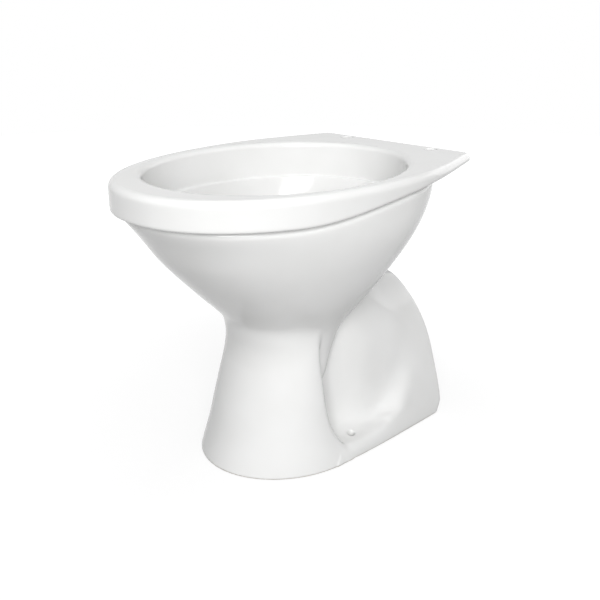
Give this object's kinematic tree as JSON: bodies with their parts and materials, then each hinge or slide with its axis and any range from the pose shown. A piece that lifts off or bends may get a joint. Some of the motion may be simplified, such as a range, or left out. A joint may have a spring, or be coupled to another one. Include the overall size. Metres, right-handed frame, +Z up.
{
  "type": "floor-standing toilet pan",
  "caption": "White glazed vitreous-china toilet pan with an oval hollow rim, rear seat deck, tapering bowl on a flared column, and an arched rear casing over a downward trap outlet.",
  "frame": {"origin": "on the floor under the middle of the overall box", "axes": "+X to the pan's right-hand side as seen facing its front, +Y from the front of the rim to the seat deck at the back, +Z up"},
  "size_m": [0.356, 0.48, 0.4],
  "materials": {
    "glaze": "glossy white glaze"
  },
  "bodies": {
    "root": {"rim_ring": "glaze", "rim_floor": "glaze", "flush_spreader": "glaze", "inlet_horn": "glaze", "bowl": "glaze", "trapway": "glaze", "outlet_spigot": "glaze", "pedestal_column": "glaze", "trap_casing": "glaze"}
  },
  "joints": []
}
